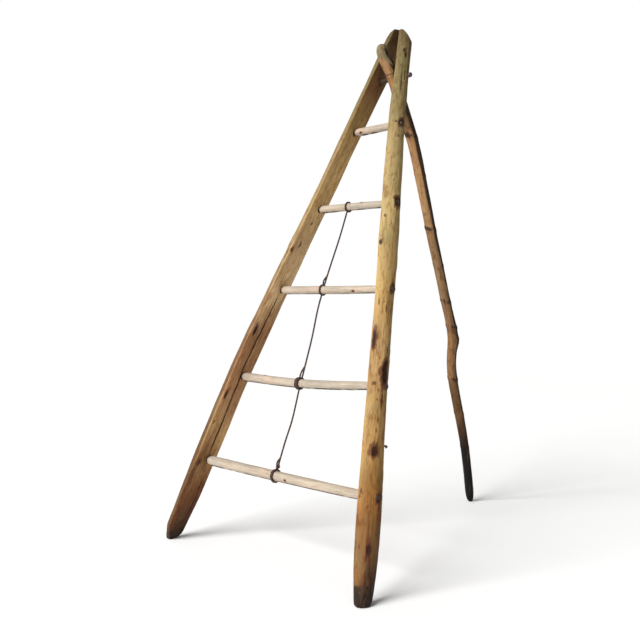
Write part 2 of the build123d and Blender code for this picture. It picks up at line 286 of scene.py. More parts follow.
def wood(name, tones, knot_tone, face_tones=None, tint=(110, 112, 70), tinted=0.2,
         fibre_depth=0.00022, rough=(0.55, 0.8), streaks=0.6, mottled=0.0,
         blotch_tone=(205, 178, 150)):
    """Weathered wood with fibres along the third part of the grain attribute.

    tones and face_tones: colours by height, for the round and the sawn side.
    mottled: how blotchy the round side is, where it also has less of the streaks.
    The marks attribute holds knots, cracks, stains with painted shade, and end grain."""
    s = Shader(name)
    grain = s.attribute("grain").outputs["Vector"]
    mark_node = s.attribute("marks")
    marks = s.add("ShaderNodeSeparateColor", {"Color": mark_node.outputs["Color"]})
    knot, crack, stain_and_shade = marks.outputs[0], marks.outputs[1], marks.outputs[2]
    end = mark_node.outputs["Alpha"]
    bend = s.noise(grain, (16, 16, 5), detail=2.0)
    swerve = s.add("ShaderNodeVectorMath", {0: (0.014, 0.014, 0.0), "Scale": bend},
                   operation="SCALE")
    wavy = s.add("ShaderNodeVectorMath", {0: grain, 1: swerve.outputs[0]}).outputs[0]
    fibre = s.noise(wavy, (620, 620, 16), detail=3.0, rough=0.6)
    streak = s.noise(wavy, (150, 150, 5), detail=4.0)
    cloud = s.noise(grain, (9, 9, 3), detail=5.0, rough=0.6)
    tinge = s.noise(grain, (25, 25, 6), detail=3.0, distortion=0.6)
    speck = s.noise(grain, (420, 420, 110), detail=2.0)
    height = s.add("ShaderNodeSeparateXYZ", {0: grain}).outputs[2]
    level = s.math("DIVIDE", s.math("ADD", height, s.swing(cloud, 0.5)), TALLEST)
    base = s.gradient(level, tones)
    face = s.attribute("face").outputs["Fac"]
    if face_tones:
        base = s.mix(face, base, s.gradient(level, face_tones))
    light = s.mix(1.0, base, (1.22, 1.22, 1.18, 1.0), "MULTIPLY")
    dark = s.mix(1.0, base, tone(182, 172, 160), "MULTIPLY")
    colour = s.mix(s.ramp(cloud, 0.38, 0.62), base, light)
    share = s.ramp(face, 0.0, 1.0, 1 - 0.75 * mottled, 1.0)
    colour = s.mix(s.ramp(tinge, 0.5, 0.72, 0.0, tinted), colour, tone(*tint))
    for lines in (s.ramp(streak, 0.47, 0.7, 0.0, streaks), s.ramp(fibre, 0.42, 0.66, 0.0, 0.45)):
        colour = s.mix(s.math("MULTIPLY", lines, share), colour, dark)
    mottle = s.noise(wavy, (75, 75, 24), detail=5.0, rough=0.68, distortion=0.7)
    blotch = s.mix(1.0, base, tone(*blotch_tone), "MULTIPLY")
    damp_and_shade = s.mix(s.ramp(mottle, 0.4, 0.62), tone(24, 17, 13), tone(66, 46, 31))
    ragged_knot = s.math("ADD", knot, s.swing(mottle, 1.1))
    ragged_stain_and_shade = s.math("ADD", stain_and_shade, s.swing(cloud, 0.9))
    # the stain channel darkens real damp stains and painted shade alike, with the same dark colour
    layers = [
        (mottle, 0.46, 0.64, 0.2 + 0.55 * mottled, blotch), (speck, 0.69, 0.76, 0.5, tone(*knot_tone)),
        (ragged_knot, 0.22, 0.5, 0.8, tone(*knot_tone)), (ragged_knot, 0.55, 0.8, 0.92, KNOT_HEART),
        (ragged_stain_and_shade, 0.35, 0.7, 0.93, damp_and_shade), (crack, 0.25, 0.7, 0.95, CRACK_DARK)]
    for factor, low, high, amount, top in layers:
        colour = s.mix(s.ramp(factor, low, high, 0.0, amount), colour, top)
    colour = s.mix(s.math("MULTIPLY", end, 0.7), colour, s.mix(fibre, tone(*knot_tone), dark))
    s.feed(s.surface.inputs["Base Color"], colour)
    shine = s.ramp(s.noise(grain, (40, 40, 9)), 0.3, 0.7, rough[0], rough[1])
    s.feed(s.surface.inputs["Roughness"], shine)
    s.surface.inputs["Specular IOR Level"].default_value = 0.2
    relief = s.bump(fibre, fibre_depth)
    relief = s.bump(streak, fibre_depth * 4, below=relief)
    pits = s.math("MULTIPLY", s.ramp(speck, 0.68, 0.76), -1.0)
    relief = s.bump(pits, 0.0006, below=relief)
    relief = s.bump(s.noise(grain, (60, 60, 22), detail=3.0), 0.0012, below=relief)
    s.feed(s.surface.inputs["Normal"], relief)
    return s.material


def dark_metal(name, base, rust, scale):
    """Dull weathered iron with rust in patches."""
    s = Shader(name)
    place = s.add("ShaderNodeTexCoord").outputs["Object"]
    patch = s.noise(place, (scale, scale, scale), detail=6.0, rough=0.65)
    grit = s.noise(place, (scale * 6, scale * 6, scale * 6), detail=3.0)
    colour = s.mix(s.ramp(patch, 0.4, 0.62), tone(*base), tone(*rust))
    s.feed(s.surface.inputs["Base Color"], colour)
    s.surface.inputs["Specular IOR Level"].default_value = 0.25
    s.feed(s.surface.inputs["Roughness"], s.ramp(patch, 0.3, 0.7, 0.5, 0.85))
    s.feed(s.surface.inputs["Normal"], s.bump(grit, 0.0003))
    return s.material


# -------------------- marks on the poles
def knot_at(local, height, place, width, tall):
    """Distance from a knot's centre, as 1 at its ragged edge, on local points."""
    out, across = place
    flat = ((local[..., 0] - out) ** 2 + (local[..., 1] - across) ** 2) / width ** 2
    distance = np.sqrt(flat + (local[..., 2] - height) ** 2 / tall ** 2)
    return distance * (1 + 0.3 * noise(local * np.array([110, 110, 60]), 77))


def crack_at(local, line, width):
    """1 in the middle of a crack in the sawn face, falling to 0 beside it."""
    heights, acrosses = zip(*line)
    middle = np.interp(local[..., 2], heights, acrosses)
    middle = middle + 0.002 * noise(np.stack([local[..., 2] * 30] * 3, -1), 5)
    fade = np.interp(local[..., 2], [heights[0] - 0.01, heights[0] + 0.06,
                                     heights[-1] - 0.06, heights[-1] + 0.01], [0, 1, 1, 0])
    near = np.exp(-((local[..., 1] - middle) / width) ** 2)
    return near * fade * (local[..., 0] < 0.006)


# -------------------- stiles
CORNER = 0.11               # edge rounding of a stile, as a share of its radius
STILE_AROUND = 208
STILE_STEP = 0.0048
TIP_STATION = 1.85          # above this height the pole is carried straight on
# tilt of the blunt facets, how far out the steep ones begin, and their tilt
HEWING = {LEFT: (math.radians(35), 0.022, math.radians(62)),
          RIGHT: (math.radians(42), 0.008, math.radians(59))}
FACET_TURNS = [math.radians(a) for a in (-66, -22, 22, 66)]
FOOT_ROUND = {LEFT: 0.024, RIGHT: 0.015}
FOOT_SHRINK = {LEFT: 0.50, RIGHT: 0.42}  # how much narrower the pole is on the floor
FLECKS = 34                 # small dark marks on a stile's round side
BODY_TOP = 1.78             # level rows below this height, rows that follow the facets above
CAP_RINGS, CAP_ABOVE = 16, 0.03     # rings over the top, and their level above it before hewing
HEWN_EDGE = 0.0016          # how softly the hewn facets meet
WORN_BACK, WORN_TOP = 0.024, 0.065      # the left foot's worn front: how deep, how high
MIDDLE = 0.42               # centre of a half disc of radius 1, out of its flat side

# height, angle on the round side (0 is straight out, + is back) or metres across the
# sawn face, width, height of the mark, swelling
KNOTS = {RIGHT: [
    (1.855, -35, 0.006, 0.01, 0.0012), (1.728, -30, 0.004, 0.032, -0.0015),
    (1.545, -8, 0.015, 0.017, 0.001), (1.184, -63, 0.005, 0.008, 0.0006),
    (1.236, -2, 0.017, 0.024, 0.002), (1.087, -75, 0.007, 0.01, 0.001),
    (0.925, 6, 0.014, 0.018, 0.0015), (0.879, -61, 0.004, 0.014, 0.0005),
    (0.86, -23, 0.004, 0.018, 0.0005), (0.765, -69, 0.008, 0.034, 0.0015),
    (0.648, -9, 0.017, 0.05, 0.0034), (0.575, -14, 0.005, 0.036, 0.0006),
    (0.622, -52, 0.006, 0.006, 0.0008), (1.7, -28, 0.003, 0.026, -0.0012),
    (1.748, -12, 0.004, 0.02, -0.0012), (1.835, -20, 0.004, 0.012, -0.0008),
    (0.419, -34, 0.014, 0.02, 0.003), (0.51, -25, 0.003, 0.01, 0.0004),
    (0.48, -31, 0.003, 0.009, 0.0004), (0.288, -3, 0.013, 0.016, 0.0025),
    (0.262, -2, 0.006, 0.009, 0.001), (0.155, -33, 0.008, 0.03, 0.002),
    (0.162, -68, 0.004, 0.006, 0.0004), (0.087, -40, 0.004, 0.015, 0.0004),
    (1.4, 95, 0.01, 0.016, 0.002), (1.02, 60, 0.013, 0.019, 0.0025),
    (0.7, 80, 0.01, 0.018, 0.002), (0.33, 72, 0.012, 0.02, 0.0025),
], LEFT: [
    (1.4, 10, 0.009, 0.014, 0.002), (1.12, -40, 0.012, 0.018, 0.0025),
    (0.82, 30, 0.014, 0.022, 0.003), (0.55, -20, 0.01, 0.018, 0.002),
    (0.36, 45, 0.013, 0.02, 0.0025), (0.16, -10, 0.01, 0.022, 0.002),
    (1.66, 40, 0.008, 0.012, 0.0015),
]}
FACE_KNOTS = {LEFT: [
    (1.081, -0.041, 0.007, 0.01, 0.0006), (1.1, -0.006, 0.008, 0.012, 0.0004),
    (1.182, -0.002, 0.006, 0.008, 0.0003), (0.775, -0.032, 0.008, 0.024, 0.0008),
    (0.537, -0.036, 0.009, 0.016, 0.001), (0.437, -0.038, 0.006, 0.01, 0.0005),
    (0.25, 0.015, 0.005, 0.012, 0.0003), (0.11, 0.03, 0.011, 0.05, 0.0003),
    (0.288, -0.03, 0.012, 0.014, 0.0006),
], RIGHT: [
    (1.3, 0.012, 0.007, 0.011, 0.0004), (0.76, -0.018, 0.009, 0.016, 0.0006),
    (0.44, 0.02, 0.008, 0.013, 0.0005), (0.18, -0.008, 0.006, 0.01, 0.0004),
]}
CRACKS = {LEFT: [
    ([(0.3, 0.005), (0.488, 0.006), (0.643, -0.002), (0.775, 0.004), (0.93, 0.007)], 0.0024),
    ([(0.03, 0.01), (0.063, 0.016), (0.131, 0.026), (0.23, 0.022)], 0.0013),
], RIGHT: [
    ([(0.52, -0.006), (0.7, -0.002), (0.9, -0.005), (1.08, -0.001)], 0.0013),
]}
STAINED_FOOT = {LEFT: 0.020, RIGHT: 0.045}      # how high the damp has darkened the foot


class Stile:
    """One half-round stile: its CAD sections, its shape and its marks."""

    def __init__(self, side, node, seed):
        self.side, self.node, self.seed = side, node, seed
        chance = np.random.default_rng(seed)
        self.flecks = [(chance.uniform(0.12, 1.85), chance.uniform(-85, 80),
                        chance.uniform(0.0016, 0.0032), chance.uniform(0.003, 0.009), -0.0004)
                       for _ in range(FLECKS)]
        self.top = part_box(node)[1].z
        places, _ = cad_arrays(node)
        self.tip_back = places[places[:, 2].argmax(), 1]
        self.read_sections()

    def read_sections(self):
        """Sawn face, centre and radius up the CAD stile, carried on past both ends."""
        heights = np.arange(0.002, TIP_STATION, STILE_STEP)
        low, high = slices(self.node, 2, heights)
        face = (high if self.side == LEFT else low)[:, 0]
        centre, radius = (low[:, 1] + high[:, 1]) / 2, (high[:, 1] - low[:, 1]) / 2
        worn = (heights < WORN_TOP) & (self.side == LEFT)
        sound = (heights >= WORN_TOP) & (heights < 2 * WORN_TOP)
        end = slice(-30, None)
        self.heights = np.append(heights, self.top + CAP_ABOVE)
        self.curves = []
        for values in (face, centre, radius):
            line = np.polyfit(heights[sound], values[sound], 1)
            values[worn] = np.polyval(line, heights[worn])
            line = np.polyfit(heights[end], values[end], 1)
            self.curves.append(np.append(values, np.polyval(line, self.heights[-1])))
        span = heights[-1] - heights[0]
        self.up = np.array([face[-1] - face[0], centre[-1] - centre[0], span])
        self.up /= np.linalg.norm(self.up)

    def at(self, height):
        """Sawn face x, centre y and radius at each height."""
        return [np.interp(height, self.heights, values) for values in self.curves]

    def local(self, places):
        """Out of the sawn face, across it, and up."""
        face, centre, _ = self.at(places[..., 2])
        return np.stack([
            self.side * (places[..., 0] - face), places[..., 1] - centre, places[..., 2]], -1)

    def spots(self):
        """Every knot as height, local place, width, height and swelling."""
        for height, angle, *size in KNOTS[self.side] + self.flecks:
            radius = self.at(height)[2]
            turn = math.radians(angle)
            yield height, (radius * math.cos(turn), radius * math.sin(turn)), *size
        for height, across, *size in FACE_KNOTS[self.side]:
            yield height, (0.0, across), *size

    def outline(self):
        """Half disc of radius 1 with round corners: points, outward normals."""
        reach = math.sqrt((1 - CORNER) ** 2 - CORNER ** 2)
        turn = math.asin(CORNER / (1 - CORNER))
        arc = math.pi / 2 - turn
        bend = CORNER * (math.pi - arc)
        # length, then the start angle, centre and radius of each curve
        pieces = [(2 * reach, None), (bend, (math.pi, CORNER, -reach, CORNER)),
                  (2 * arc, (-arc, 0, 0, 1)), (bend, (arc, CORNER, reach, CORNER))]
        total = sum(length for length, _ in pieces)
        points, normals = [], []
        for k in range(STILE_AROUND):
            along = total * (k + 0.5) / STILE_AROUND
            for length, curve in pieces:
                if along <= length:
                    break
                along -= length
            if curve:
                start, x, y, radius = curve
                angle = start + along / radius
                normal = (math.cos(angle), math.sin(angle))
                point = (x + radius * normal[0], y + radius * normal[1])
            else:
                point, normal = (0.0, reach - along), (-1.0, 0.0)
            points.append(point)
            normals.append(normal)
        return np.array(points), np.array(normals)

    def hew(self, places):
        """Bring points above the hewn facets down onto them, along the pole."""
        side, up = self.side, self.up
        out = np.array([side, 0, 0]) - up * up[0] * side
        out /= np.linalg.norm(out)
        back = np.cross(up, out)
        tip = np.array([self.at(self.top)[0], self.tip_back, self.top])
        blunt, steep_from, steep = HEWING[side]
        drop = steep_from * math.tan(blunt)
        moves = np.ones(places.shape[:-1])
        for tilt, reach, fall in ((blunt, 0, 0), (steep, steep_from, drop)):
            for k, turn in enumerate(FACET_TURNS):
                away = out * math.cos(turn) + back * math.sin(turn)
                normal = up * math.cos(tilt) + away * math.sin(tilt)
                origin = tip + away * reach - up * fall
                across = places * np.array([60, 60, 0])
                scoop = 0.0012 * noise(across, self.seed + 40 + k)
                over = ((places - origin) @ normal + scoop) / (up @ normal)
                moves += np.exp(np.clip(over / HEWN_EDGE, -60, 60))
        return places - (HEWN_EDGE * np.log(moves))[..., None] * up

    def wear(self, places):
        """Set the front of the left foot back, as it's worn."""
        _, centre, radius = self.at(places[..., 2])
        share = limit(places[..., 2] / WORN_TOP)
        forward = limit((centre - places[..., 1]) / radius)
        places[..., 1] += WORN_BACK * (1 - share) ** 2 * (1 + 2 * share) * forward
        return places

    def relief(self, local, ratio):
        """How far the surface stands out, at local points; ratio is 1 on the round side."""
        wide, lean, fine = (local * np.array(k) for k in ((20, 20, 8), (75, 75, 9), (330, 330, 14)))
        shape = 0.0032 * noise(wide, self.seed) * ratio
        shape += 0.0009 * fractal(lean, 2, self.seed + 3)
        shape += 0.00022 * noise(fine, self.seed + 7)
        for high, place, width, tall, swell in self.spots():
            q = knot_at(local, high, place, width * 1.5, tall * 1.5)
            shape += 1.6 * swell * np.exp(-q ** 2)
            shape -= abs(swell) * 1.1 * np.exp(-(q / 0.45) ** 2)
        for line, width in CRACKS[self.side]:
            shape -= 0.007 * crack_at(local, line, width)
        return shape

    def build(self):
        """The stile as rows of points from the foot up, then rings over the hewn top."""
        points, normals = self.outline()
        foot = FOOT_ROUND[self.side]
        above = self.top + CAP_ABOVE
        edge = self.hew(self.place(points, np.full(STILE_AROUND, above), 1.0))[:, 2]
        body = np.arange(foot + STILE_STEP, BODY_TOP, STILE_STEP)
        steps = int((above - BODY_TOP) / STILE_STEP)
        flat, shrink = np.ones(STILE_AROUND), FOOT_SHRINK[self.side]
        # heights round each row, and its size
        rows = [(0 * flat, share * (1 - shrink)) for share in (0.03, 0.35, 0.7)]
        rows += [(foot * (1 - math.cos(turn)) * flat, 1 - shrink * (1 - math.sin(turn)))
                 for turn in np.linspace(0, math.pi / 2, 6)]
        rows += [(height * flat, 1.0) for height in body]
        rows += [(body[-1] + (edge - body[-1]) * k / steps, 1.0) for k in range(1, steps + 1)]
        rows += [(above * flat, 0.97 - 0.95 * k / (CAP_RINGS - 1)) for k in range(CAP_RINGS)]
        places = np.array([self.place(points, *row) for row in rows])
        local = self.local(places)
        ratio = np.broadcast_to(np.clip(normals[:, 0] * 2 + 1, 0.3, 1), local.shape[:2])
        ground = limit(places[..., 2] / (4 * foot))
        ground = ground * ground * (3 - 2 * ground)
        below_cap = (np.arange(len(rows)) < len(rows) - CAP_RINGS)[:, None]
        amount = self.relief(local, ratio) * ground * below_cap
        places[..., 0] += self.side * normals[:, 0] * amount
        places[..., 1] += normals[:, 1] * amount
        places = self.hew(places)
        if self.side == LEFT:
            places = self.wear(places)[:, ::-1]
        return make_object(self.node + "_wood", *skin(places))

    def place(self, points, heights, size):
        """Outline points at these heights, drawn in towards the middle by size."""
        face, centre, radius = self.at(heights)
        out = radius * (MIDDLE + (points[:, 0] - MIDDLE) * size)
        across = radius * points[:, 1] * size
        return np.stack([face + self.side * out, centre + across, heights], -1)

    def paint(self, thing):
        """Store where each vertex is along the grain, and the marks."""
        places = mesh_places(thing)
        local = self.local(places)
        knot = np.zeros(len(local))
        for high, place, width, tall, swell in self.spots():
            strength = min(max(abs(swell) / 0.0008, 0.6), 1.0)
            q = knot_at(local, high, place, width, tall)
            knot = np.maximum(knot, strength * np.exp(-0.7 * q ** 2))
        crack = np.zeros(len(local))
        for line, width in CRACKS[self.side]:
            crack = np.maximum(crack, crack_at(local, line, width * 1.4))
        stain_and_shade = limit(1 - (local[:, 2] - STAINED_FOOT[self.side]) / 0.03)
        cut_end = limit((local[:, 2] - (self.top - 0.075)) / 0.02)
        radius = self.at(local[:, 2])[2]
        face = 1 - limit(local[:, 0] / (0.10 * radius))
        paint_marks(thing, local + np.array([self.seed * 0.37, 0, 0]),
                    (knot, crack, stain_and_shade, 0.35 * cut_end), face)


def paint_marks(thing, grain, marks, face=0.0):
    """Store a piece's grain place, its knots, cracks, stains and painted shade, end grain, and sawn
    face.
    """
    count = len(thing.data.vertices)
    columns = [np.broadcast_to(np.asarray(m, float), count) for m in marks]
    store(thing, "grain", "FLOAT_VECTOR", grain)
    store(thing, "marks", "FLOAT_COLOR", np.stack(columns, -1))
    store(thing, "face", "FLOAT", np.broadcast_to(face, count))


HOLE_GAP = 0.0007           # a hole's edge to the tenon or peg in it
PROBE_DEPTH = 0.006         # in from a bar's end to where its thickness is read
DRILL_PAST = 0.02           # how far the drill passes the wood at each end


def drill_holes(stile, thing):
    """Holes for the rungs' tenons and for the pivot peg."""
    bars = ["rung_%d" % k for k in range(1, 6)] + ["pivot_peg"]
    for node in bars:
        low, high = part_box(node)
        tip = low.x if stile.side == LEFT else high.x
        section_low, section_high = slice_box(node, 0, tip - stile.side * PROBE_DEPTH)
        centre = (section_low + section_high) / 2
        face = stile.at(centre[2])[0]
        start = (face - stile.side * DRILL_PAST, centre[1], centre[2])
        end = (tip + stile.side * DRILL_PAST, centre[1], centre[2])
        if node == "pivot_peg":
            start = (0.0, centre[1], centre[2])
        radius = (section_high - section_low)[2] / 2 + HOLE_GAP
        drill(thing, start, end, radius)


# -------------------- rungs
RUNG_AROUND = 72
RUNG_STEP = 0.004
PEG_AROUND, PEG_STEP = 56, 0.002
# painted shade along each rung's underside: where it begins, as the downward part of the normal, and
# how much
UNDERSIDE_SHADE = {1: (0.72, 0.45), 2: (0.72, 0.45), 3: (0.70, 0.5), 4: (0.60, 1.0), 5: (0.55, 1.0)}
# each rung's small knots: place along X and turn round the rung
PIN_KNOTS = {1: [(-0.06, 200)], 2: [(0.05, 120), (-0.1, 20)], 3: [(-0.05, 60), (0.12, 200)],
             4: [(0.1, 40), (-0.2, 100), (0.22, 250)], 5: [(-0.28, 60), (0.2, 30), (0.05, 190)]}


def stick_rows(node, step, around, edge):
    """Rows of points round a CAD bar that runs along X, with rounded ends, and its middle."""
    low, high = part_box(node)
    inner = np.arange(low.x + 2 * edge, high.x - 2 * edge, step)
    turns = np.linspace(0, 1, 5)[:-1]
    stations = np.concatenate([low.x + edge * turns, inner, high.x - edge * turns[::-1]])
    safe = np.clip(stations, low.x + 1e-4, high.x - 1e-4)
    lowest, highest = slices(node, 0, safe)
    centre = (lowest + highest) / 2
    radius = (highest - lowest)[:, 2] / 2
    depth = np.minimum(stations - low.x, high.x - stations)
    inset = limit(1 - depth / edge) ** 2 * edge * 0.6
    return stations, centre, radius - inset, np.insert(circle(around), 0, 0, axis=1)


def stick_noise(x, ring, along, across):
    """Places in the noise for points on a stick, stretched along it and round it."""
    around = [ring[None, :, k] * across + 0 * x for k in (1, 2)]
    return np.stack([x * along, *around], -1)


def stick_skin(rows, stations, centre, shares):
    """Rows with their end caps: rings drawn in to the middle by these shares."""
    middle = centre.copy()
    middle[:, 0] = stations
    first = [middle[0] + (rows[0] - middle[0]) * share for share in shares]
    last = [middle[-1] + (rows[-1] - middle[-1]) * share for share in shares[::-1]]
    return skin(np.concatenate([first, rows, last]))


def from_ends(places):
    """How far each point is from the nearer end of a stick along X."""
    x = places[:, 0]
    return np.minimum(x - x.min(), x.max() - x)


def build_rung(number):
    """A peeled stick with whittled ends, its tenons' end grain and its small knots."""
    node = "rung_%d" % number
    stations, centre, radius, ring = stick_rows(node, RUNG_STEP, RUNG_AROUND, 0.0015)
    body = np.interp(radius, [0.0120, 0.0135], [0.12, 1.0])
    x = stations[:, None] * np.ones(RUNG_AROUND)
    turn, facet, fine = (stick_noise(x, ring, *k) for k in ((12, 1.3), (5, 2.4), (26, 5)))
    relief = 0.0007 * noise(turn, number) - 0.0006 * np.abs(noise(facet, number + 20))
    relief += 0.00018 * noise(fine, number + 30)
    knot = np.zeros_like(x)
    for place, angle in PIN_KNOTS[number]:
        spot = np.array([math.cos(math.radians(angle)), math.sin(math.radians(angle))])
        gap = np.linalg.norm(ring[:, 1:] - spot, axis=1)[None, :] * 0.014
        q = np.sqrt(((x - place) / 0.007) ** 2 + (gap / 0.0045) ** 2)
        knot = np.maximum(knot, np.exp(-0.7 * q ** 2))
        relief += 0.0011 * np.exp(-(q / 1.6) ** 2) - 0.0009 * np.exp(-(q / 0.5) ** 2)
    size = (radius[:, None] + relief * body[:, None])[..., None]
    rows = ring[None] * size + centre[:, None, :]
    rows[..., 0] = x
    caps = [0.02, 0.3, 0.6, 0.85]
    thing = make_object(node + "_wood", *stick_skin(rows, stations, centre, caps))
    places = mesh_places(thing)
    line = np.stack([np.interp(places[:, 0], stations, centre[:, k]) for k in (1, 2)], -1)
    grain = np.stack([places[:, 1] - line[:, 0], places[:, 2] - line[:, 1],
                      places[:, 0] + number], -1)
    grain[:, 2] = np.mod(grain[:, 2], TALLEST)
    cap = np.zeros(len(caps) * RUNG_AROUND)
    marks = np.concatenate([cap, knot.ravel(), cap])
    end = limit(1 - (from_ends(places) - 0.006) / 0.002)
    away = np.hypot(grain[:, 0], grain[:, 1])
    rim = end * limit((away - 0.0075) / 0.003)
    # painted shade: the mask named bark below darkens each rung's downward side, where shadow falls
    start, left = UNDERSIDE_SHADE[number]
    under = limit((-grain[:, 1] / np.maximum(away, 1e-4) - start) / 0.14)
    ragged = limit(left + 0.9 * noise(np.stack([grain[:, 2] * 22] * 3, -1), number + 60))
    bark = under * ragged * (away > 0.0125)
    # painted shade where the whittled shoulder meets the stile, as the shadow line at the joint
    whittled = 0.95 * limit((1 - np.interp(places[:, 0], stations, body)) / 0.88)
    stain_and_shade = np.maximum(np.maximum(rim * 1.1, end), np.maximum(bark * 0.85, whittled))
    paint_marks(thing, grain, (marks, 0.0, stain_and_shade, end * 0.2))
    return thing


def build_peg():
    """The whittled pivot peg."""
    stations, centre, radius, ring = stick_rows("pivot_peg", PEG_STEP, PEG_AROUND, 0.004)
    x = stations[:, None] * np.ones(PEG_AROUND)
    relief = -0.0009 * np.abs(noise(stick_noise(x, ring, 9, 1.8), 71))
    rows = ring[None] * (radius[:, None] + relief)[..., None] + centre[:, None, :]
    rows[..., 0] = x
    caps = [0.02, 0.35, 0.7]
    thing = make_object("pivot_peg_wood", *stick_skin(rows, stations, centre, caps))
    places = mesh_places(thing)
    grain = (places - np.array([0, *centre[0, 1:]]))[:, [1, 2, 0]]
    tip = from_ends(places)
    grey = limit(1 - (tip - 0.006) / 0.010)
    paint_marks(thing, grain, (0.0, 0.0, 0.0, limit(1 - tip / 0.001) * 0.4), grey)
    return thing


# -------------------- rear leg
LEG_AROUND = 128
LEG_STEP = 0.0045
NODE_TILT = 0.25            # fall of the ring nodes across the leg
# height, swelling, half height, dark ring
LEG_NODES = [
    (1.546, 0.0022, 0.01, 0.9), (1.4, 0.001, 0.009, 0.4), (1.186, 0.0022, 0.01, 0.9),
    (1.04, 0.001, 0.008, 0.4), (0.886, 0.0018, 0.009, 0.7), (0.779, 0.0018, 0.009, 0.7),
    (0.554, 0.0018, 0.01, 0.7), (0.4, 0.0012, 0.009, 0.5), (0.25, 0.001, 0.009, 0.4)]
# height, angle from straight across (+X) towards the back, width, height, swelling
LEG_KNOTS = [
    (0.714, 35, 0.013, 0.016, 0.006), (1.79, 30, 0.02, 0.045, 0.003),
    (1.84, -8, 0.009, 0.022, -0.003), (1.87, -100, 0.007, 0.011, -0.0016),
    (1.7, -60, 0.006, 0.012, 0.0016), (1.546, -50, 0.006, 0.006, 0.002),
    (1.186, -20, 0.006, 0.007, 0.0022), (0.886, -70, 0.006, 0.007, 0.002),
    (0.554, -45, 0.006, 0.008, 0.002), (1.33, 150, 0.008, 0.011, 0.0025),
    (0.45, 140, 0.008, 0.012, 0.0025)]
HEAD_ROUND = 0.022
LEG_SHADED_SIDE = np.array([0.72, 0.69])   # the side of the leg darkened with painted shade
BARK_FROM = 1.806           # the leg's head keeps its bark above this height
LEG_FOOT_ROUND, LEG_FOOT_SHRINK = 0.052, 0.66


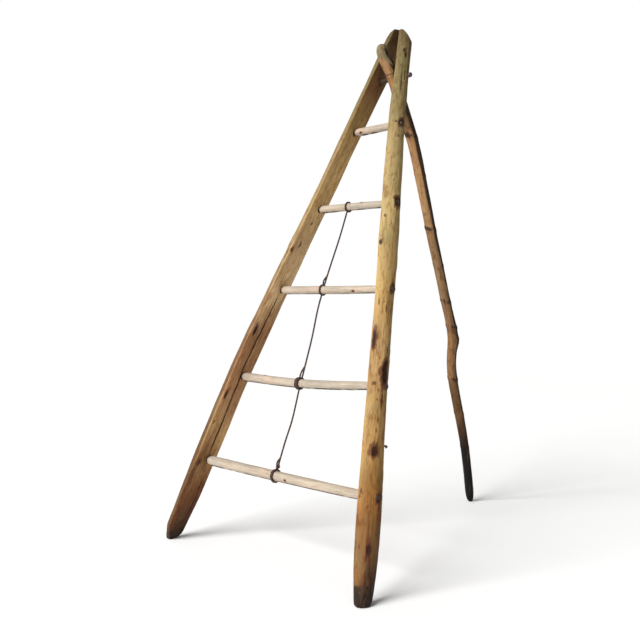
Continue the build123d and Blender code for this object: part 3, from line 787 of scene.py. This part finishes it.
class Leg:
    """The crooked pole leg."""

    def __init__(self):
        self.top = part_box("rear_leg")[1].z
        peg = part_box("pivot_peg")
        self.peg_height = (peg[0].z + peg[1].z) / 2
        heights = np.arange(0.001, self.top - 0.0005, LEG_STEP)
        heights = heights[np.abs(heights - self.peg_height) > 0.014]
        low, high = slices("rear_leg", 2, heights)
        self.heights, self.edges = heights, (low, high)

    def at(self, height):
        """Centre x and y, and half widths along X and Y, at each height."""
        low_x, low_y, high_x, high_y = (
            np.interp(height, self.heights, edge[:, k]) for edge in self.edges for k in (0, 1))
        return ((low_x + high_x) / 2, (low_y + high_y) / 2,
                (high_x - low_x) / 2, (high_y - low_y) / 2)

    def local(self, places):
        x, y, _, _ = self.at(places[..., 2])
        return np.stack([places[..., 0] - x, places[..., 1] - y, places[..., 2]], -1)

    def knots(self, local):
        """For every knot: its swelling and the distance from it, 1 at its edge."""
        for height, angle, width, tall, swell in LEG_KNOTS:
            _, _, half_x, half_y = self.at(height)
            turn = math.radians(angle)
            place = (half_x * math.cos(turn), half_y * math.sin(turn))
            yield swell, knot_at(local, height, place, width, tall)

    def relief(self, local):
        wide, lean, fine = (local * np.array(k) for k in ((30, 30, 7), (95, 95, 13), (330, 330, 18)))
        shape = 0.0010 * noise(wide, 11) + 0.0007 * fractal(lean, 2, 14)
        shape += 0.00025 * noise(fine, 18)
        tilt = NODE_TILT * local[..., 0]
        for height, swell, half, _ in LEG_NODES:
            ring = np.exp(-((local[..., 2] + tilt - height) / half) ** 2)
            shape += swell * ring * (1 + 0.5 * noise(local * 60, 25))
        for swell, q in self.knots(local):
            shape += swell * np.exp(-(q / 1.4) ** 2)
            shape -= abs(swell) * 0.35 * np.exp(-(q / 0.4) ** 2)
        head = limit((local[..., 2] - 1.80) / 0.05)
        return shape + head * 0.0016 * fractal(local * 55, 3, 31)

    def build(self):
        """Rows of points from the foot to the rounded head."""
        ring = circle(LEG_AROUND)
        turns = np.linspace(0, math.pi / 2, 6)
        foot = LEG_FOOT_ROUND * (1 - np.cos(turns))
        head_turns = np.linspace(0, math.pi / 2, 12)[:-1]
        head = self.top - HEAD_ROUND * (1 - np.sin(head_turns))
        body = np.arange(LEG_FOOT_ROUND + LEG_STEP, head[0] - LEG_STEP / 2, LEG_STEP)
        heights = np.concatenate([[0, 0, 0], foot, body, head, [self.top] * 2])
        foot_size = 1 - LEG_FOOT_SHRINK * (1 - np.sin(turns))
        head_size = 0.25 + 0.75 * np.cos(head_turns)
        sizes = np.concatenate([[0.02, 0.2, 0.36], foot_size, np.ones(len(body)), head_size,
                                [0.12, 0.02]])
        x, y, half_x, half_y = self.at(np.clip(heights, 0.002, self.top - HEAD_ROUND))
        across = ring[None, :, 0] * (half_x * sizes)[:, None]
        along = ring[None, :, 1] * (half_y * sizes)[:, None]
        places = np.stack([x[:, None] + across, y[:, None] + along,
                           heights[:, None] + 0 * across], -1)
        local = self.local(places)
        calm = limit(heights / 0.01) * (sizes > 0.5)
        amount = self.relief(local) * calm[:, None]
        places[..., :2] += ring[None] * amount[..., None]
        thing = make_object("rear_leg_wood", *skin(places))
        peg_low, peg_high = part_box("pivot_peg")
        middle = (peg_low + peg_high) / 2
        reach = Vector((0.06, 0, 0))
        drill(thing, middle - reach, middle + reach, (peg_high.z - peg_low.z) / 2 + 0.0004)
        return thing

    def paint(self, thing):
        local = self.local(mesh_places(thing))
        knot = np.zeros(len(local))
        tilt = NODE_TILT * local[:, 0]
        for height, _, half, strength in LEG_NODES:
            q = (local[:, 2] + tilt - height) / (half * (1.1 + 0.5 * noise(local * 40, 53)))
            patchy = 0.72 + 0.5 * noise(local * 55, 51)
            knot = np.maximum(knot, 0.8 * strength * patchy * np.exp(-q ** 2))
        for swell, q in self.knots(local):
            knot = np.maximum(knot, (0.95 if swell < 0 else 0.8) * np.exp(-0.9 * q ** 2))
        end = limit((local[:, 2] - (self.top - 0.012)) / 0.008) * 0.6
        edge = BARK_FROM - 0.6 * local[:, 0] - 0.3 * local[:, 1] + 0.004 * noise(local * 90, 57)
        bark = limit((local[:, 2] - edge) / 0.005)
        # painted shade down the leg's back side, reaching further round above about 1.05 m
        reach = np.interp(local[:, 2], [1.05, 1.30], [0.003, -0.004])
        reach = reach + 0.003 * noise(local * 35, 61)
        shade = limit((local[:, :2] @ LEG_SHADED_SIDE - reach) / 0.014) * 0.78
        paint_marks(thing, local, (knot, 0.0, shade * (1 - bark), end), bark)


# -------------------- wire
WIRE_RADIUS = 0.0030
DOWN = (0, -0.39, -0.92)    # along the ladder, from its top
# the tie wire's route from rung to rung, from the top down
SPAN_ROUTES = [
    [(-0.0229, -0.1392, 1.2155), (-0.0216, -0.1704, 1.1397), (-0.0275, -0.1942, 1.0747),
     (-0.031, -0.2242, 1.0042), (-0.0346, -0.2469, 0.9447)],
    [(-0.0349, -0.263, 0.9036), (-0.038, -0.2776, 0.8631), (-0.0235, -0.3203, 0.7591),
     (-0.0237, -0.3491, 0.6782), (-0.0211, -0.3747, 0.6147)],
    [(-0.0198, -0.3917, 0.572), (-0.0161, -0.4109, 0.5223), (-0.0097, -0.4371, 0.4626),
     (-0.0182, -0.4634, 0.3931), (-0.0163, -0.4927, 0.3235)],
]
SPAN_LENGTHS = [0.292, 0.311, 0.269]
# rung, number of turns, sideways reach of the second strand above it and its start
WRAPS = [(2, 1, 0.0, 0.0), (3, 1, -0.005, 0.55), (4, 3, -0.006, 0.6), (5, 2, -0.004, 0.3)]


def wire_curve(name, points, radius):
    """A round wire along a smooth curve with these control points."""
    curve = bpy.data.curves.new(name, "CURVE")
    curve.dimensions = "3D"
    curve.bevel_depth = radius
    curve.bevel_resolution = 5
    curve.resolution_u = 8
    curve.use_fill_caps = True
    spline = curve.splines.new("NURBS")
    spline.points.add(len(points) - 1)
    for place, point in zip(points, spline.points):
        point.co = (*place, 1.0)
    spline.order_u = 3
    spline.use_endpoint_u = True
    return add_object(name, curve)


def wire_turns(rung, turns, aside, above):
    """The wire's turns round one rung, with the second strand that comes down to them.

    above: where that strand starts, as a share of the last run of the span over the rung."""
    low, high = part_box("wire_turns_%d" % rung)
    centre, outer = (low + high) / 2, (high.z - low.z) / 2
    reach = outer - WIRE_RADIUS
    width = high.x - low.x - 2 * WIRE_RADIUS
    down = Vector(DOWN)
    lean = math.atan2(-down.y, -down.z)
    points = []
    if above:
        before, last = (Vector(point) for point in SPAN_ROUTES[rung - 3][-2:])
        top = last.lerp(before, above)
        points += [top, last.lerp(before, above * 0.6) + Vector((aside, -0.004, 0.0)),
                   last.lerp(before, above * 0.2) + Vector((aside * 1.1, -0.006, 0.0))]
    steps = 18 * turns + 9
    for k in range(steps + 1):
        share = k / steps
        angle = math.pi - lean + 2 * math.pi * (turns + 0.5) * share + math.pi
        wobble = 0.0004 * math.sin(5.3 * k + rung)
        sway = width * (share - 0.5) + 0.0008 * math.sin(2.1 * k + rung)
        radius = reach + wobble
        points.append(centre + Vector((sway, -radius * math.sin(angle), radius * math.cos(angle))))
    return wire_curve("wire_turns_%d_strand" % rung, points, WIRE_RADIUS * 0.96)


def wire_knot():
    """The last span's end twisted round itself."""
    low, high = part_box("wire_knot")
    centre = (low + high) / 2
    down = Vector(DOWN)
    side = Vector((1, 0, 0))
    front = down.cross(side)
    points = []
    for k in range(46):
        share = k / 45
        angle = 2 * math.pi * 2.6 * share
        place = centre + down * 0.013 * (share - 0.5)
        radius = 0.0042 + 0.0005 * math.sin(7 * share)
        points.append(place + (side * math.cos(angle) + front * math.sin(angle)) * radius)
    points.append(points[-1] + side * 0.010 - down * 0.006 + front * 0.002)
    return wire_curve("wire_knot_coil", points, 0.0024)


BINDING_ABOVE_PEG = 0.0235
BINDING_RADIUS = 0.0010
BINDING_OUT = 0.0017        # the leg's side to the middle of the wire
BINDING_STEPS = 67


def head_binding(leg):
    """Two turns of thin wire round the leg just above the peg, with a twisted tail."""
    middle = leg.peg_height + BINDING_ABOVE_PEG
    x, y, half_x, half_y = (float(v) for v in leg.at(middle))
    slope = (leg.at(middle + 0.03)[1] - leg.at(middle - 0.03)[1]) / 0.06
    points = []
    for k in range(BINDING_STEPS + 1):
        share = k / BINDING_STEPS
        angle = math.radians(215) + 2 * math.pi * 2.0 * share
        rise = 0.0014 * (share * 2 - 1)
        depth = math.sin(angle) * (half_y + BINDING_OUT)
        points.append(Vector((x + math.cos(angle) * (half_x + BINDING_OUT), y + depth,
                              middle - slope * depth + rise)))
    tail = points[-1]
    for k in range(1, 14):
        twist = 2.2 * k
        points.append(tail + Vector((0.0009 * math.cos(twist) - 0.0004 * k,
                                     0.0009 * math.sin(twist) - 0.0006 * k, -0.0012 * k)))
    return wire_curve("head_binding_wire", points, BINDING_RADIUS)


# -------------------- colours
KNOT_TONE = (88, 48, 30)
# runs of height, red, green and blue, from the foot up
ROUND_TONES = [
    (0.0, 59, 39, 27), (0.08, 116, 81, 45), (0.28, 133, 91, 44), (0.42, 151, 116, 66),
    (0.56, 158, 125, 77), (0.76, 162, 129, 86), (0.92, 165, 135, 84), (1.15, 162, 139, 92),
    (1.4, 163, 142, 96), (1.6, 129, 113, 74), (1.78, 119, 106, 69), (1.95, 99, 83, 52)]
LEFT_ROUND_TONES = [
    (0.0, 50, 34, 24), (0.08, 78, 53, 32), (0.28, 94, 65, 39), (0.42, 96, 69, 46),
    (0.56, 97, 71, 49), (0.76, 106, 81, 57), (0.92, 130, 106, 73), (1.15, 139, 117, 83),
    (1.4, 141, 120, 85), (1.6, 123, 108, 70), (1.78, 114, 101, 66), (1.95, 94, 79, 50)]
FACE_TONES = [
    (0.0, 58, 38, 24), (0.1, 92, 54, 28), (0.25, 120, 76, 42), (0.4, 200, 158, 106),
    (0.57, 188, 142, 100), (0.76, 166, 118, 78), (0.95, 232, 197, 150), (1.15, 206, 172, 124),
    (1.4, 202, 168, 112), (1.55, 172, 140, 86), (1.72, 128, 90, 60), (1.95, 118, 94, 66)]
LEG_HEAD_TONES = [(0.0, 142, 126, 92), (2.0, 134, 120, 88)]
LEG_TONES = [
    (0.0, 11, 9, 7), (0.18, 16, 11, 8), (0.28, 48, 30, 19), (0.38, 91, 65, 36),
    (0.5, 105, 76, 46), (0.66, 136, 101, 67), (0.8, 115, 84, 53), (1.0, 131, 103, 71),
    (1.2, 124, 94, 63), (1.3, 164, 127, 88), (1.45, 176, 136, 92), (1.58, 140, 104, 68),
    (1.66, 83, 65, 45), (1.74, 172, 129, 86), (1.79, 160, 122, 84), (1.93, 150, 112, 78)]
RUNG_TONES = [(0.0, 167, 156, 142), (2.0, 169, 156, 141)]
# painted shade: the peg's colour is darkened because it sits in the stiles' shadow
PEG_SHADED_TONES = [(0.0, 56, 46, 32), (2.0, 56, 46, 32)]
PEG_END_TONES = [(0.0, 98, 84, 86), (2.0, 98, 84, 86)]


def assign(thing, material):
    thing.data.materials.clear()
    thing.data.materials.append(material)


# -------------------- the ladder
def keep(thing, material, node, body="ladder"):
    """Give a piece its finish and its body, and hide the CAD node it stands for."""
    assign(thing, material)
    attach(thing, body)
    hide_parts(node)
    return thing


def build_stiles():
    left, right = Stile(LEFT, "left_stile", 1), Stile(RIGHT, "right_stile", 2)
    for stile, tones in ((left, LEFT_ROUND_TONES), (right, ROUND_TONES)):
        finish = wood(stile.node + "_wood", tones, KNOT_TONE, FACE_TONES, tinted=0.4, mottled=1.0)
        thing = stile.build()
        drill_holes(stile, thing)
        stile.paint(thing)
        keep(thing, finish, stile.node)


def build_sticks():
    finish = wood("rung_wood", RUNG_TONES, (150, 104, 78), tint=(214, 168, 140), tinted=0.5,
                  fibre_depth=0.00014, rough=(0.5, 0.7), streaks=0.35)
    for number in range(1, 6):
        keep(build_rung(number), finish, "rung_%d" % number)
    peg_finish = wood("peg_wood", PEG_SHADED_TONES, (120, 96, 60), PEG_END_TONES, tinted=0.3)
    keep(build_peg(), peg_finish, "pivot_peg")


def build_leg(wire):
    leg = Leg()
    thing = leg.build()
    leg.paint(thing)
    finish = wood("leg_bark", LEG_TONES, (34, 22, 16), LEG_HEAD_TONES, tint=(134, 98, 72),
                  tinted=0.45, fibre_depth=0.0004, rough=(0.6, 0.85), streaks=0.75, mottled=0.75,
                  blotch_tone=(150, 122, 100))
    keep(thing, finish, "rear_leg", "leg")
    keep(head_binding(leg), wire, "head_binding", "leg")


def build_wire(wire):
    for rung, count, aside, above in WRAPS:
        thing = wire_turns(rung, count, aside, above)
        keep(thing, wire, "wire_turns_%d" % rung)
    knot = keep(wire_knot(), wire, "wire_knot")
    for number, (route, length) in enumerate(zip(SPAN_ROUTES, SPAN_LENGTHS), 1):
        node = "wire_span_%d" % number
        span = keep(wire_curve(node + "_strand", route, WIRE_RADIUS), wire, node)
        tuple(route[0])


def build_iron():
    iron = dark_metal("nail_iron", (62, 52, 48), (96, 60, 40), 900)
    for node in ("left_tenon_nails", "right_tenon_nails"):
        assign(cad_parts[node], iron)
    low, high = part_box("bent_nail")
    out = Vector((high.x - low.x, high.y - low.y, 0)).normalized()
    bend = Vector((high.x - 0.0024, high.y - 0.0024, high.z - 0.0024))
    root = bend - out * 0.016
    points = [root, bend - out * 0.007, bend + out * 0.001 - Vector((0, 0, 0.001)),
              bend - Vector((0, 0, 0.0045)) - out * 0.001,
              Vector((bend.x, bend.y, low.z + 0.002)) - out * 0.005]
    stub = wire_curve("bent_nail_stub", points, 0.0028)
    keep(stub, iron, "bent_nail")


# -------------------- studio
CAMERA_AROUND = math.radians(40.2)      # the camera's place, round from straight in front
CAMERA_AWAY = 3.07
CAMERA_HEIGHT = 0.8736
CAMERA_TURN = math.radians(44.23)      # where it looks, round from straight back
CAMERA_TIP = math.radians(-1.152)
CAMERA_LENS = 44.756


def add_camera():
    middle = (CAD_BOX[0] + CAD_BOX[1]) / 2
    data = bpy.data.cameras.new("camera")
    data.lens = CAMERA_LENS
    camera = add_object("camera", data)
    camera.location = (middle.x + CAMERA_AWAY * math.sin(CAMERA_AROUND),
                       middle.y - CAMERA_AWAY * math.cos(CAMERA_AROUND), CAMERA_HEIGHT)
    camera.rotation_euler = (math.pi / 2 + CAMERA_TIP, 0, CAMERA_TURN)
    bpy.context.scene.camera = camera


FLOOR_SIDES, FLOOR_RADIUS, FLOOR_LEVEL = 96, 7, -0.0005


def add_floor():
    rim = [(FLOOR_RADIUS * x, FLOOR_RADIUS * y, FLOOR_LEVEL) for x, y in circle(FLOOR_SIDES)]
    floor = make_object("floor", rim, [list(range(FLOOR_SIDES))], smooth=False)
    s = Shader("floor_paint")
    place = s.add("ShaderNodeTexCoord").outputs["Object"]
    mottle = s.noise(place, (3, 3, 3), detail=4.0)
    s.feed(s.surface.inputs["Base Color"], s.mix(mottle, tone(250, 250, 249), tone(253, 253, 252)))
    s.surface.inputs["Roughness"].default_value = 0.9
    assign(floor, s.material)
    floor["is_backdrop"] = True


FILL_LIT, FILL_DARK = 0.36, 0.03    # light from all round, and from the dark side
DARK_SIDE, DARKEST = (0.45, 0.89, 0.0), 0.85
KEY_FROM = Vector((-0.5, -3.2, 2.1))
KEY_STRENGTH, KEY_SOFTNESS = 4.6, math.radians(40)


def add_light():
    """A white backdrop, less light from the right and behind, and one soft light from the left."""
    world = bpy.data.worlds.new("studio")
    world.use_nodes = True
    s = Nodes(world.node_tree)
    place = s.add("ShaderNodeTexCoord").outputs["Generated"]
    toward = s.add("ShaderNodeVectorMath", {0: place, 1: DARK_SIDE}, operation="DOT_PRODUCT")
    fill = s.ramp(toward.outputs["Value"], 0.0, DARKEST, FILL_LIT, FILL_DARK, "LINEAR")
    seen = s.add("ShaderNodeLightPath").outputs["Is Camera Ray"]
    background = s.tree.nodes["Background"]
    background.inputs["Color"].default_value = (1.0, 1.0, 1.0, 1.0)
    s.feed(background.inputs["Strength"], s.ramp(seen, 0.0, 1.0, fill, 1.0, "LINEAR"))
    bpy.context.scene.world = world
    data = bpy.data.lights.new("soft_key", "SUN")
    data.energy = KEY_STRENGTH
    data.angle = KEY_SOFTNESS
    lamp = add_object("soft_key", data)
    lamp.rotation_euler = KEY_FROM.to_track_quat("Z", "Y").to_euler()
    bpy.context.scene.view_settings.view_transform = "Standard"


def main():
    add_camera()
    wire = dark_metal("tie_wire", (38, 29, 31), (86, 62, 48), 260)
    build_wire(wire)
    build_stiles()
    build_sticks()
    build_leg(wire)
    build_iron()
    add_floor()
    add_light()


main()
boxes = {"cad": CAD_BOX, "visual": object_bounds()}
{name: [list(corner) for corner in box] for name, box in boxes.items()}
